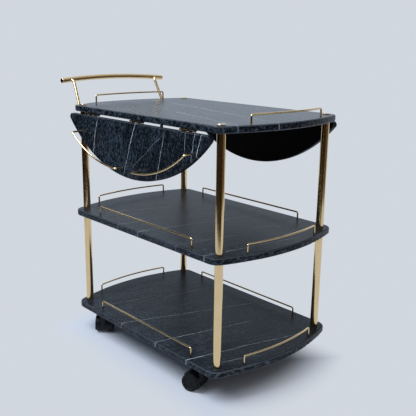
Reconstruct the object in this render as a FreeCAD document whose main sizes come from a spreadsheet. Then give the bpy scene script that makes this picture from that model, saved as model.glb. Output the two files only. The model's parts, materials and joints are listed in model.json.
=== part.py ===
import FreeCAD, Part
import math
import os

import Sketcher

Vector = FreeCAD.Vector
Placement = FreeCAD.Placement
Rotation = FreeCAD.Rotation
ORIGIN = Vector(0, 0, 0)
X_AXIS = Vector(1, 0, 0)
Y_AXIS = Vector(0, 1, 0)
Z_AXIS = Vector(0, 0, 1)

# A folding tea trolley: three stone shelves on four tie-rod posts, two drop leaves hinged under the top
# shelf, gallery rails bent from rod, a push handle and four twin-wheel casters.
# X runs along the trolley with the handle at -X, which is the rear; Y is across it with +Y on the left of
# someone who pushes it; Z is up, and the floor is at zero. The leaves hang down in the modelled state.

# Driving dimensions, in millimetres and degrees
SIZES = (
    ("shelf_length", 724, "length of each shelf over its bowed ends"),
    ("shelf_width", 460, "width of the middle and bottom shelves"),
    ("top_setback", 6, "top shelf narrower than the others at each side"),
    ("end_radius", 600, "radius of the bowed shelf ends"),
    ("corner_radius", 32, "radius of the shelf corners in plan"),
    ("slab_thickness", 18, "thickness of the shelves and leaves"),
    ("arris_radius", 4, "eased edge of every slab"),
    ("deck_height", 76, "floor to the underside of the bottom shelf"),
    ("lower_post_length", 287, "clear height between the bottom and middle shelves"),
    ("upper_post_length", 303, "clear height between the middle and top shelves"),
    ("post_end_inset", 62, "post axes from the shelf ends"),
    ("post_side_inset", 32, "post axes from the long sides of the shelves"),
    ("post_diameter", 22, "outside of the post tube"),
    ("post_wall", 1.5, "wall of the post tube"),
    ("post_seat_depth", 2, "shallow seat of a post in the shelf below it"),
    ("post_seat_clearance", 0.3, "radial room for the post in its seat"),
    ("tie_rod_diameter", 8, "threaded rod inside a post"),
    ("tie_rod_clearance", 0.5, "radial room for the rod in the slabs"),
    ("tie_rod_tail", 3, "rod that shows below its nut"),
    ("thread_clearance", 0.05, "radial room between a thread and its mate"),
    ("cap_diameter", 22, "cap on the top shelf above a post"),
    ("cap_height", 2.5, "cap above the shelf"),
    ("cap_chamfer", 0.8, "bevel round the cap"),
    ("cap_seat_depth", 1, "shallow seat of a cap in the top shelf"),
    ("cap_seat_clearance", 0.3, "radial room for the cap in its seat"),
    ("cap_sleeve_diameter", 12, "threaded sleeve below the cap"),
    ("cap_sleeve_length", 14, "sleeve inside the shelf"),
    ("cap_web", 1, "sleeve left solid under the cap"),
    ("cap_sleeve_clearance", 0.4, "radial room for the sleeve in the shelf"),
    ("socket_across", 5, "hexagon socket in the cap"),
    ("socket_depth", 1.4, "depth of that socket"),
    ("nut_across", 13, "foot nut across its flats"),
    ("nut_height", 6.5, "foot nut"),
    ("rail_diameter", 5, "rod of the gallery rails"),
    ("rail_height", 26, "top of a rail above its slab"),
    ("rail_bend", 5, "bend radius of a rail at its centre line"),
    ("rail_foot_depth", 8, "rail foot inside its slab"),
    ("rail_foot_clearance", 0.15, "radial room for a rail foot"),
    ("side_rail_clear", 90, "feet of a long rail from the post axes"),
    ("side_rail_inset", 22, "long rail from the shelf edge"),
    ("end_rail_clear", 66, "feet of an end rail from the post axes"),
    ("end_rail_inset", 14, "end rail from the shelf edge"),
    ("leaf_length", 636, "straight edge of a leaf before its tips are rounded"),
    ("leaf_depth", 152.5, "leaf from its straight edge to its crown"),
    ("leaf_tip_radius", 10, "rounded tips of a leaf"),
    ("leaf_joint_gap", 0.75, "gap between a raised leaf and the top shelf"),
    ("leaf_rail_height", 29, "outer side of a leaf rail above its leaf"),
    ("leaf_rail_inset", 28, "inner end of a leaf rail from the crown of the leaf"),
    ("leaf_rail_end_inset", 17, "outer end of a leaf rail from the curved edge, across the leaf"),
    ("leaf_rail_start", 40, "run of a leaf rail from the middle of the leaf"),
    ("leaf_rail_end", 71, "run of a leaf rail from the end of the leaf"),
    ("hinge_length", 60, "length of a butt hinge"),
    ("hinge_end_inset", 110, "outer hinges from the ends of the leaf"),
    ("hinge_inset", 0.8, "hinge axis inside the edge of the top shelf"),
    ("knuckle_diameter", 4.5, "rolled knuckle of a hinge"),
    ("knuckle_gap", 0.4, "running gap between knuckles"),
    ("flap_width", 22, "hinge flap from the hinge axis"),
    ("flap_thickness", 1.2, "hinge flap"),
    ("pin_diameter", 2.5, "hinge pin"),
    ("pin_clearance", 0.05, "radial running fit of the hinge pin"),
    ("support_width", 25, "pull-out bar that carries a raised leaf"),
    ("support_room", 0.5, "pulled-out bar above the edge of a hanging leaf"),
    ("support_gap", 12, "between the inner ends of opposite bars"),
    ("support_setback", 34, "bar end inside the edge of the top shelf when pushed in"),
    ("support_offset", 150, "bars each side of the middle of a leaf"),
    ("support_corner", 8, "rounded corners at the pulled end of the bar"),
    ("support_grip", 32, "bar that stands out of its guide when pushed in"),
    ("support_clearance", 0.3, "running room round the bar in its guide"),
    ("guide_length", 80, "guide channel of a bar"),
    ("guide_wall", 1.5, "folded sheet of the guide"),
    ("guide_flange", 9, "screw flange of the guide"),
    ("bumper_diameter", 8, "rubber stop behind a hanging leaf"),
    ("bumper_height", 12, "rubber stop below the top shelf"),
    ("bumper_edge", 1.5, "rounded lower edge of the stop"),
    ("bumper_offset", 104, "stop from the middle of the leaf, towards the front"),
    ("bumper_clearance", 0.3, "stop from the leaf"),
    ("handle_reach", 61, "handle bar ends beyond the shelf end"),
    ("handle_rise", 64, "handle bar ends above the top shelf"),
    ("handle_overhang", 30, "handle bar beyond its rods"),
    ("handle_diameter", 16, "handle bar"),
    ("handle_end_radius", 2, "rounded ends of the handle bar"),
    ("handle_bow", 12, "middle of the bar further out than its ends"),
    ("handle_arch", 8.5, "middle of the bar higher than its ends"),
    ("handle_rod_diameter", 9, "rods that carry the handle"),
    ("handle_rod_inset", 32, "handle rods inside the post axes, at the shelf"),
    ("handle_rod_toe", 7, "each rod nearer the middle at its upper bend than at the shelf"),
    ("handle_rod_flare", 9, "each rod further out at the bar than at its upper bend"),
    ("handle_rod_stand", 9.4, "lower bend of a rod beyond the shelf end"),
    ("handle_rod_neck", 9.5, "upper bend of a rod in front of the bar"),
    ("handle_rod_bend", 16, "bend radius of a rod at its centre line"),
    ("handle_rod_run", 92, "rod below the shelf, inward of its lower bend"),
    ("clamp_length", 56, "block that holds a rod under the shelf"),
    ("clamp_width", 24, "block across the rod"),
    ("clamp_height", 14, "block below the shelf"),
    ("clamp_chamfer", 3, "bevelled lower edges of the block"),
    ("clamp_clearance", 0.05, "radial fit of the rod in its block"),
    ("caster_inset", 70, "swivel axes inside the post axes along the trolley"),
    ("caster_side_inset", 5, "swivel axes inside the post axes across the trolley"),
    ("caster_trail", 18, "axle behind the swivel axis"),
    ("wheel_diameter", 50, "caster wheel"),
    ("wheel_width", 19, "caster wheel"),
    ("wheel_gap", 16, "between the two wheels of a caster"),
    ("wheel_shoulder", 3.5, "rounded shoulders of the tread"),
    ("wheel_dish_diameter", 37, "sunk disc on the outer face of a wheel"),
    ("wheel_dish_depth", 2, "depth of that disc"),
    ("wheel_boss_diameter", 13, "boss in the middle of the disc"),
    ("wheel_cover", 4, "wheel left solid beyond the axle"),
    ("axle_diameter", 6, "caster axle"),
    ("axle_clearance", 0.08, "radial running fit of a wheel on its axle"),
    ("axle_end_room", 0.5, "end room of the axle inside a wheel"),
    ("axle_fit", 0.02, "radial fit of the axle in the hood"),
    ("hood_clearance", 1.5, "running room between hood and wheels"),
    ("hood_wall", 2.5, "wall of the hood"),
    ("hood_front_drop", 25, "hood below the axle in front, as an angle"),
    ("hood_sweep", 150, "hood round the wheels, as an angle"),
    ("hood_web", 8, "web of the hood between the wheels"),
    ("hood_boss_diameter", 15, "axle boss of the web"),
    ("hub_diameter", 25, "swivel hub on top of the hood"),
    ("mount_side", 42, "square plate of a caster mount"),
    ("mount_corner", 5, "rounded corners of that plate"),
    ("mount_plate", 2.5, "thickness of that plate"),
    ("cup_diameter", 34, "bearing cup below the plate"),
    ("cup_height", 6, "bearing cup"),
    ("cup_taper", 2, "cup narrows by this much at its lower edge"),
    ("stem_diameter", 10, "swivel stem"),
    ("stem_length", 14, "stem below the cup"),
    ("stem_clearance", 0.08, "radial running fit of the stem"),
    ("swivel_gap", 0.3, "running gap above and below the hub"),
)

# Swivel angle of each caster as the trolley stands, in degrees about the swivel axis
CASTER_TURNS = {"front_left": 24, "front_right": 20, "rear_left": -12, "rear_right": -44}
# Signs of X and Y at the four corners and at the two sides and ends
CORNERS = {"front_left": (1, 1), "front_right": (1, -1), "rear_left": (-1, 1), "rear_right": (-1, -1)}
SIDES = {"left": 1, "right": -1}
ENDS = {"front": 1, "rear": -1}
# Knuckles along a hinge, shared between its two flaps
KNUCKLES = 5
# Lengths that differ by less than this are taken as equal when edges are picked
NEAR = 0.001

# Sizes that follow from others, as expressions on the sheet
POST_X = "(dim.shelf_length / 2 - dim.post_end_inset)"
POST_Y = "(dim.shelf_width / 2 - dim.post_side_inset)"
TOP_WIDTH = "(dim.shelf_width - 2 * dim.top_setback)"
BAR_LENGTH = f"({TOP_WIDTH} / 2 - dim.support_setback - dim.support_gap / 2)"
# A bar fills the height between the top shelf and the edge of a hanging leaf, less its room
LEAF_DROP = "(dim.knuckle_diameter / 2 + dim.hinge_inset + dim.leaf_joint_gap)"
BAR_THICKNESS = f"({LEAF_DROP} - dim.support_clearance - dim.support_room)"

doc = FreeCAD.newDocument("tea_trolley")
dim = doc.addObject("Spreadsheet::Sheet", "dim")
for row, (alias, number, note) in enumerate(SIZES, start=1):
    dim.set(f"A{row}", alias)
    dim.set(f"B{row}", str(number))
    dim.set(f"C{row}", note)
    dim.setAlias(f"B{row}", alias)
doc.recompute()

# Finished sub-parts by label, in the order they are made
nodes = {}


def value(expression):
    """Number that an expression on the sheet gives."""
    return float(dim.evalExpression(expression))


def size(alias):
    """Driving dimension from the sheet."""
    return value(f"dim.{alias}")


def bind(feature, **expressions):
    """Tie properties of a feature to expressions on the sheet."""
    for name, expression in expressions.items():
        feature.setExpression(name, expression)


# Levels and centre lines that several pieces share
thickness = size("slab_thickness")
shelf_end = size("shelf_length") / 2
bottom_level = size("deck_height") + thickness
middle_level = bottom_level + size("lower_post_length") + thickness
top_level = middle_level + size("upper_post_length") + thickness
underside = top_level - thickness
knuckle_radius = size("knuckle_diameter") / 2
post_x = value(POST_X)
post_y = value(POST_Y)
hinge_y = value(TOP_WIDTH) / 2 - size("hinge_inset")
hinge_z = underside - knuckle_radius
rail_line = size("rail_height") - size("rail_diameter") / 2
leaf_rail_line = size("leaf_rail_height") - size("rail_diameter") / 2
handle_rod_y = post_y - size("handle_rod_inset")
handle_bend_y = handle_rod_y - size("handle_rod_toe")
handle_tip_y = handle_bend_y + size("handle_rod_flare")
handle_half = handle_tip_y + size("handle_overhang")
handle_x = -shelf_end - size("handle_reach")
handle_z = top_level + size("handle_rise")
# The origin is on the floor below the middle of the overall box, which the handle carries to the rear
handle_outer = -handle_x + size("handle_bow") + size("handle_diameter") / 2
base = Placement(Vector((handle_outer - shelf_end) / 2, 0, 0), Rotation())


def at(x, y, z, turn=0):
    """Placement at a point of the trolley, measured from the middle of its shelves and the floor."""
    return base.multiply(Placement(Vector(x, y, z), Rotation(Z_AXIS, turn)))


def keep(label, feature):
    """Name a finished sub-part."""
    feature.Label = label
    nodes[label] = feature
    return feature


def new_sketch(body, name, role, height=None):
    """Sketch on a plane of the body's own origin, raised along its normal by an expression."""
    sketch = body.newObject("Sketcher::SketchObject", name)
    plane = [feature for feature in body.Origin.OriginFeatures if feature.Role == role][0]
    sketch.AttachmentSupport = [(plane, "")]
    sketch.MapMode = "FlatFace"
    if height:
        sketch.setExpression("AttachmentOffset.Base.z", height)
    return sketch


def relate(sketch, kind, *arguments):
    """Geometric constraint of a sketch."""
    return sketch.addConstraint(Sketcher.Constraint(kind, *arguments))


def dimension(sketch, kind, *arguments, expression):
    """Driving constraint of a sketch, tied to the sheet."""
    index = sketch.addConstraint(Sketcher.Constraint(kind, *arguments, value(expression)))
    sketch.setExpression(f"Constraints[{index}]", expression)


def locate(sketch, geometry, point, x, y):
    """Fix a point of a sketch at two expressions, measured from the sketch's origin."""
    for kind, axis, expression in (("DistanceX", -2, x), ("DistanceY", -1, y)):
        if expression == "0":
            relate(sketch, "PointOnObject", geometry, point, axis)
        else:
            dimension(sketch, kind, -1, 1, geometry, point, expression=expression)


def add_polygon(sketch, corners):
    """Closed outline of straight lines through corners that are pairs of expressions."""
    points = [Vector(value(x), value(y), 0) for x, y in corners]
    following = points[1:] + points[:1]
    lines = [sketch.addGeometry(Part.LineSegment(a, b), False) for a, b in zip(points, following)]
    for line, after in zip(lines, lines[1:] + lines[:1]):
        relate(sketch, "Coincident", line, 2, after, 1)
    for line, (x, y) in zip(lines, corners):
        locate(sketch, line, 1, x, y)


def add_circle(sketch, x, y, radius):
    """Circle at a pair of expressions."""
    centre = Vector(value(x), value(y), 0)
    circle = sketch.addGeometry(Part.Circle(centre, Z_AXIS, value(radius)), False)
    dimension(sketch, "Radius", circle, expression=radius)
    locate(sketch, circle, 3, x, y)


def add_rectangle(sketch, x_low, y_low, x_high, y_high):
    """Rectangle between two pairs of expressions."""
    add_polygon(sketch, [(x_low, y_low), (x_high, y_low), (x_high, y_high), (x_low, y_high)])


def arc_between(centre, radius, start, end):
    """Arc of a circle in the sketch plane, anticlockwise between two angles."""
    return Part.ArcOfCircle(Part.Circle(centre, Z_AXIS, radius), start, end)


def pad(body, sketch, length, symmetric=False, reverse=False):
    """Pad of a sketch."""
    feature = body.newObject("PartDesign::Pad", sketch.Name + "_pad")
    feature.Profile = sketch
    feature.Reversed = reverse
    if symmetric:
        feature.SideType = "Symmetric"
    bind(feature, Length=length)
    doc.recompute()
    return feature


def pocket(body, sketch, depth=None):
    """Pocket below a sketch, or right through the body both ways, which has to remove something."""
    before = body.Shape.Volume
    feature = body.newObject("PartDesign::Pocket", sketch.Name + "_pocket")
    feature.Profile = sketch
    if depth:
        bind(feature, Length=depth)
    else:
        feature.SideType = "Symmetric"
        feature.Type = "ThroughAll"
    doc.recompute()
    if body.Shape.Volume >= before:
        raise ValueError(f"{feature.Name} removes nothing")
    return feature


def revolve(body, sketch):
    """Full revolution of a sketch about its own vertical axis."""
    feature = body.newObject("PartDesign::Revolution", sketch.Name + "_turned")
    feature.Profile = sketch
    feature.ReferenceAxis = (sketch, ["V_Axis"])
    feature.Angle = 360
    doc.recompute()
    return feature


def round_edges(body, feature, radius, wanted):
    """Fillet the edges of a feature for which wanted(edge) is true."""
    names = [f"Edge{i}" for i, edge in enumerate(feature.Shape.Edges, start=1) if wanted(edge)]
    fillet = body.newObject("PartDesign::Fillet", feature.Name + "_eased")
    fillet.Base = (feature, names)
    bind(fillet, Radius=radius)
    doc.recompute()
    return fillet


def is_level(edge):
    """True for an edge that lies in a horizontal plane."""
    return edge.BoundBox.ZLength < NEAR


def is_upright(edge):
    """True for a straight edge along Z."""
    return edge.BoundBox.XLength + edge.BoundBox.YLength < NEAR


def cylinder(name, radius, length, placement, angle=None):
    """Cylinder, or a sector of one, along the Z axis of its placement."""
    feature = doc.addObject("Part::Cylinder", name)
    bind(feature, Radius=radius, Height=length)
    if angle:
        bind(feature, Angle=angle)
    feature.Placement = placement
    return feature


def cut(name, body, tool):
    """First solid less the second."""
    feature = doc.addObject("Part::Cut", name)
    feature.Base = body
    feature.Tool = tool
    return feature


def fuse(name, shapes):
    """Several solids as one."""
    feature = doc.addObject("Part::MultiFuse", name)
    feature.Shapes = shapes
    return feature


def copies(label, source, placements):
    """Group of separate copies of one sub-part."""
    links = []
    for index, placement in enumerate(placements, start=1):
        link = doc.addObject("App::Link", f"{label}_{index}")
        link.LinkedObject = source
        link.Placement = placement
        links.append(link)
    group = doc.addObject("Part::Compound", label)
    group.Links = links
    return keep(label, group)


def swept_rod(name, edges, diameter, frame):
    """Round rod along edges that join smoothly, given in a frame of their own."""
    spine = doc.addObject("Part::Feature", name + "_line")
    spine.Shape = Part.Wire(edges)
    spine.Placement = frame
    start = edges[0].valueAt(edges[0].FirstParameter)
    heading = edges[0].tangentAt(edges[0].FirstParameter)
    ring = doc.addObject("Part::Circle", name + "_ring")
    bind(ring, Radius=f"{diameter} / 2")
    ring.Placement = frame.multiply(Placement(start, Rotation(Z_AXIS, heading)))
    rod = doc.addObject("Part::Sweep", name)
    rod.Sections = [ring]
    rod.Spine = (spine, [])
    rod.Solid = True
    rod.Frenet = False
    doc.recompute()
    return rod


def add_bowed_outline(sketch, width):
    """Shelf outline: two straight long sides, two bowed ends and four rounded corners, all tangent."""
    radius = size("end_radius")
    corner = size("corner_radius")
    half_width = value(width) / 2
    end_centre = shelf_end - radius
    corner_y = half_width - corner
    corner_x = end_centre + math.sqrt((radius - corner) ** 2 - corner_y ** 2)
    turn = math.atan2(corner_y, corner_x - end_centre)
    half = math.pi / 2

    def corner_arc(x_sign, y_sign, start, end):
        return arc_between(Vector(x_sign * corner_x, y_sign * corner_y, 0), corner, start, end)

    def side(sign):
        return Part.LineSegment(Vector(sign * corner_x, sign * half_width, 0),
                                Vector(-sign * corner_x, sign * half_width, 0))

    outline = [
        arc_between(Vector(end_centre, 0, 0), radius, -turn, turn),
        corner_arc(1, 1, turn, half),
        side(1),
        corner_arc(-1, 1, half, 2 * half - turn),
        arc_between(Vector(-end_centre, 0, 0), radius, 2 * half - turn, 2 * half + turn),
        corner_arc(-1, -1, 2 * half + turn, 3 * half),
        side(-1),
        corner_arc(1, -1, 3 * half, 4 * half - turn),
    ]
    front, corner_1, left, corner_2, rear, corner_3, right, corner_4 = [
        sketch.addGeometry(piece, False) for piece in outline]
    ring = [front, corner_1, left, corner_2, rear, corner_3, right, corner_4]
    for piece, after in zip(ring, ring[1:] + ring[:1]):
        relate(sketch, "Tangent", piece, 2, after, 1)
    for piece in (left, right):
        relate(sketch, "Horizontal", piece)
    for piece in (front, rear):
        relate(sketch, "PointOnObject", piece, 3, -1)
        dimension(sketch, "Radius", piece, expression="dim.end_radius")
    for piece in (corner_1, corner_2, corner_3, corner_4):
        dimension(sketch, "Radius", piece, expression="dim.corner_radius")
    setback = "dim.shelf_length / 2 - dim.end_radius"
    dimension(sketch, "DistanceX", -1, 1, front, 3, expression=setback)
    dimension(sketch, "DistanceX", rear, 3, -1, 1, expression=setback)
    dimension(sketch, "DistanceY", -1, 1, left, 1, expression=f"{width} / 2")
    dimension(sketch, "DistanceY", right, 1, -1, 1, expression=f"{width} / 2")


def rail_feet(plan):
    """Feet of a rail: each stands one bend radius beyond an end of its level run."""
    bend = size("rail_bend")
    first, last = plan.ParameterRange
    return [plan.valueAt(first) - plan.tangentAt(first) * bend,
            plan.valueAt(last) + plan.tangentAt(last) * bend]


def rail_edges(plan):
    """Centre line of a rail: up from one foot, over a bend, along its level run and down again."""
    bend = size("rail_bend")
    first, last = plan.ParameterRange
    feet = rail_feet(plan)

    def leg(end, foot):
        low = Vector(foot.x, foot.y, -size("rail_foot_depth"))
        shoulder = Vector(foot.x, foot.y, end.z - bend)
        centre = end - Z_AXIS * bend
        outward = (foot - end).normalize()
        middle = centre + (outward + Z_AXIS).normalize() * bend
        return low, shoulder, middle

    start, end = plan.valueAt(first), plan.valueAt(last)
    low_1, shoulder_1, middle_1 = leg(start, feet[0])
    low_2, shoulder_2, middle_2 = leg(end, feet[1])
    return [
        Part.LineSegment(low_1, shoulder_1).toShape(),
        Part.Arc(shoulder_1, middle_1, start).toShape(),
        plan,
        Part.Arc(end, middle_2, shoulder_2).toShape(),
        Part.LineSegment(shoulder_2, low_2).toShape(),
    ]


def end_rail_plan():
    """Level run of the front rail, parallel to the bowed end of a shelf."""
    radius = size("end_radius") - size("end_rail_inset")
    half_angle = math.asin((post_y - size("end_rail_clear") - size("rail_bend")) / radius)
    centre = Vector(shelf_end - size("end_radius"), 0, rail_line)
    return arc_between(centre, radius, -half_angle, half_angle).toShape()


def side_rail_plan():
    """Level run of a long rail, on the +Y side and parallel to the straight edge."""
    run = post_x - size("side_rail_clear") - size("rail_bend")
    y = size("shelf_width") / 2 - size("side_rail_inset")
    return Part.LineSegment(Vector(run, y, rail_line), Vector(-run, y, rail_line)).toShape()


def leaf_radius():
    """Radius of the curved edge of a leaf, from its length and depth."""
    half = size("leaf_length") / 2
    depth = size("leaf_depth")
    return (half ** 2 + depth ** 2) / (2 * depth)


def leaf_rail_plan(end_sign):
    """Run of a leaf rail on one half of the leaf: an arc that leaves its inner end along the leaf.

    Its centre lies square to the straight edge from that inner end, so the two ends give its radius.
    """
    edge_centre = leaf_radius() - size("leaf_depth")
    inner_x = size("leaf_rail_start")
    inner_y = size("leaf_rail_inset") - size("leaf_depth")
    outer_x = size("leaf_length") / 2 - size("leaf_rail_end")
    outer_y = edge_centre - math.sqrt(leaf_radius() ** 2 - outer_x ** 2) + size("leaf_rail_end_inset")
    along, across = outer_x - inner_x, outer_y - inner_y
    radius = (along ** 2 + across ** 2) / (2 * across)
    turn = math.atan2(along, radius - across)
    centre = Vector(end_sign * inner_x, inner_y + radius, leaf_rail_line)
    low, high = sorted((0, end_sign * turn))
    down = -math.pi / 2
    return arc_between(centre, radius, down + low, down + high).toShape()


def add_foot_bores(body, label, points):
    """Blind holes in the top face of a slab for the feet of its rails."""
    sketch = new_sketch(body, label + "_feet", "XY_Plane", "dim.slab_thickness")
    for point in points:
        add_circle(sketch, str(point.x), str(point.y), "dim.rail_diameter / 2 + dim.rail_foot_clearance")
    pocket(body, sketch, "dim.rail_foot_depth")


def shelf(label, width, level, rails, bore, seat, seat_depth):
    """Stone shelf with eased edges, a bore and a seat at each post, and blind holes for its rails."""
    body = doc.addObject("PartDesign::Body", label)
    outline = new_sketch(body, label + "_outline", "XY_Plane")
    add_bowed_outline(outline, width)
    blank = pad(body, outline, "dim.slab_thickness")
    round_edges(body, blank, "dim.arris_radius", is_level)
    bores = new_sketch(body, label + "_bores", "XY_Plane")
    seats = new_sketch(body, label + "_seats", "XY_Plane", "dim.slab_thickness")
    for x_sign, y_sign in CORNERS.values():
        for sketch, radius in ((bores, bore), (seats, seat)):
            add_circle(sketch, f"{x_sign} * {POST_X}", f"{y_sign} * {POST_Y}", radius)
    pocket(body, bores)
    pocket(body, seats, seat_depth)
    feet = [Vector(x_sign * foot.x, x_sign * foot.y, 0) for plan in rails for foot in rail_feet(plan)
            for x_sign in (1, -1)]
    add_foot_bores(body, label, feet)
    body.Placement = at(0, 0, level - thickness)
    keep(label, body)


def shelf_rails(prefix, level, with_sides):
    """Rails of a shelf: one at each end and, below the top shelf, one along each side."""
    sets = [(ENDS, end_rail_plan())]
    if with_sides:
        sets.append((SIDES, side_rail_plan()))
    for places, plan in sets:
        for name, sign in places.items():
            frame = at(0, 0, level, 0 if sign > 0 else 180)
            rod = swept_rod(f"{prefix}_rail_{name}", rail_edges(plan), "dim.rail_diameter", frame)
            keep(f"{prefix}_rail_{name}", rod)


def posts(prefix, foot_level, clear_height):
    """Four post tubes that stand in the seats of one shelf and carry the next."""
    length = f"{clear_height} + dim.post_seat_depth"
    for corner, (x_sign, y_sign) in CORNERS.items():
        name = f"{prefix}_post_{corner}"
        place = at(x_sign * post_x, y_sign * post_y, foot_level - size("post_seat_depth"))
        tube = cylinder(name + "_outside", "dim.post_diameter / 2", length, place)
        bore = cylinder(name + "_bore", "dim.post_diameter / 2 - dim.post_wall", length, place)
        keep(name, cut(name, tube, bore))


def at_posts(level):
    """Placements on the four post axes at one level."""
    return [at(x_sign * post_x, y_sign * post_y, level) for x_sign, y_sign in CORNERS.values()]


def tie_rods():
    """Threaded rods from the caps on the top shelf, through posts and shelves, to the foot nuts."""
    low = size("deck_height") - size("nut_height") - size("tie_rod_tail")
    high = top_level - size("cap_seat_depth") - size("cap_web")
    rod = cylinder("tie_rod", "dim.tie_rod_diameter / 2", str(high - low), Placement())
    copies("tie_rods", rod, at_posts(low))


def add_hexagon(sketch, across):
    """Regular hexagon round the sketch's origin, from its width across flats."""
    corner = f"{across} / sqrt(3)"
    flat = f"{across} / 2"
    add_polygon(sketch, [(corner, "0"), (f"{corner} / 2", flat), (f"-{corner} / 2", flat),
                         (f"-{corner}", "0"), (f"-{corner} / 2", f"-{flat}"), (f"{corner} / 2", f"-{flat}")])


def post_caps():
    """Caps above the posts: a bevelled, seated disc with a hexagon socket on a threaded sleeve."""
    body = doc.addObject("PartDesign::Body", "post_cap")
    profile = new_sketch(body, "cap_profile", "XZ_Plane")
    edge = "dim.cap_diameter / 2"
    sleeve = "dim.cap_sleeve_diameter / 2"
    bore = "dim.tie_rod_diameter / 2 + dim.thread_clearance"
    web = "(dim.cap_seat_depth + dim.cap_web)"
    add_polygon(profile, [
        ("0", "dim.cap_height"),
        (f"{edge} - dim.cap_chamfer", "dim.cap_height"),
        (edge, "dim.cap_height - dim.cap_chamfer"),
        (edge, "-dim.cap_seat_depth"),
        (sleeve, "-dim.cap_seat_depth"),
        (sleeve, "-dim.cap_sleeve_length"),
        (bore, "-dim.cap_sleeve_length"),
        (bore, f"-{web}"),
        ("0", f"-{web}"),
    ])
    revolve(body, profile)
    socket = new_sketch(body, "cap_socket", "XY_Plane", "dim.cap_height")
    add_hexagon(socket, "dim.socket_across")
    pocket(body, socket, "dim.socket_depth")
    copies("post_caps", body, at_posts(top_level))


def foot_nuts():
    """Hexagon nuts that pull the tie rods tight against the bottom shelf."""
    body = doc.addObject("PartDesign::Body", "foot_nut")
    outline = new_sketch(body, "nut_outline", "XY_Plane")
    add_hexagon(outline, "dim.nut_across")
    add_circle(outline, "0", "0", "dim.tie_rod_diameter / 2 + dim.thread_clearance")
    pad(body, outline, "dim.nut_height", reverse=True)
    copies("foot_nuts", body, at_posts(size("deck_height")))


def leaf_frame(side):
    """Frame on the hinge axis of a leaf, as if the leaf were raised towards -Y, turned to where it hangs."""
    if side == "right":
        return base.multiply(Placement(Vector(0, -hinge_y, hinge_z), Rotation(X_AXIS, 90)))
    turned = Rotation(X_AXIS, -90).multiply(Rotation(Z_AXIS, 180))
    return base.multiply(Placement(Vector(0, hinge_y, hinge_z), turned))


def leaf_surface(side, height):
    """Frame of a leaf at the middle of its straight edge, at a height above its lower face."""
    edge = -size("hinge_inset") - size("leaf_joint_gap")
    return leaf_frame(side).multiply(Placement(Vector(0, edge, knuckle_radius + height), Rotation()))


def add_leaf_outline(sketch):
    """Leaf outline: a straight edge and one arc, with rounded tips, all tangent."""
    radius = leaf_radius()
    tip = size("leaf_tip_radius")
    centre_y = radius - size("leaf_depth")
    tip_x = math.sqrt((radius - tip) ** 2 - (centre_y + tip) ** 2)
    turn = math.atan2(centre_y + tip, tip_x)
    half = math.pi / 2
    outline = [
        arc_between(Vector(0, centre_y, 0), radius, 2 * half + turn, 4 * half - turn),
        arc_between(Vector(tip_x, -tip, 0), tip, -turn, half),
        Part.LineSegment(Vector(tip_x, 0, 0), Vector(-tip_x, 0, 0)),
        arc_between(Vector(-tip_x, -tip, 0), tip, half, 2 * half + turn),
    ]
    crown, tip_1, edge, tip_2 = [sketch.addGeometry(piece, False) for piece in outline]
    ring = [crown, tip_1, edge, tip_2]
    for piece, after in zip(ring, ring[1:] + ring[:1]):
        relate(sketch, "Tangent", piece, 2, after, 1)
    relate(sketch, "PointOnObject", edge, 1, -1)
    relate(sketch, "Horizontal", edge)
    relate(sketch, "PointOnObject", crown, 3, -2)
    for piece in (tip_1, tip_2):
        dimension(sketch, "Radius", piece, expression="dim.leaf_tip_radius")
    curve = "(dim.leaf_length^2 / 4 + dim.leaf_depth^2) / (2 * dim.leaf_depth)"
    dimension(sketch, "Radius", crown, expression=curve)
    dimension(sketch, "DistanceY", -1, 1, crown, 3, expression=f"{curve} - dim.leaf_depth")


def leaf(side):
    """Drop leaf with its two rails."""
    label = f"{side}_leaf"
    body = doc.addObject("PartDesign::Body", label)
    outline = new_sketch(body, label + "_outline", "XY_Plane")
    add_leaf_outline(outline)
    blank = pad(body, outline, "dim.slab_thickness")
    round_edges(body, blank, "dim.arris_radius", is_level)
    plans = {name: leaf_rail_plan(sign) for name, sign in ENDS.items()}
    add_foot_bores(body, label, [foot for plan in plans.values() for foot in rail_feet(plan)])
    body.Placement = leaf_surface(side, 0)
    keep(label, body)
    # The frame of the left leaf is turned round, so its own +X end is at the rear
    if side == "left":
        plans = {"front": plans["rear"], "rear": plans["front"]}
    for name, plan in plans.items():
        rod = swept_rod(f"{label}_rail_{name}", rail_edges(plan), "dim.rail_diameter",
                        leaf_surface(side, thickness))
        keep(f"{label}_rail_{name}", rod)


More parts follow.
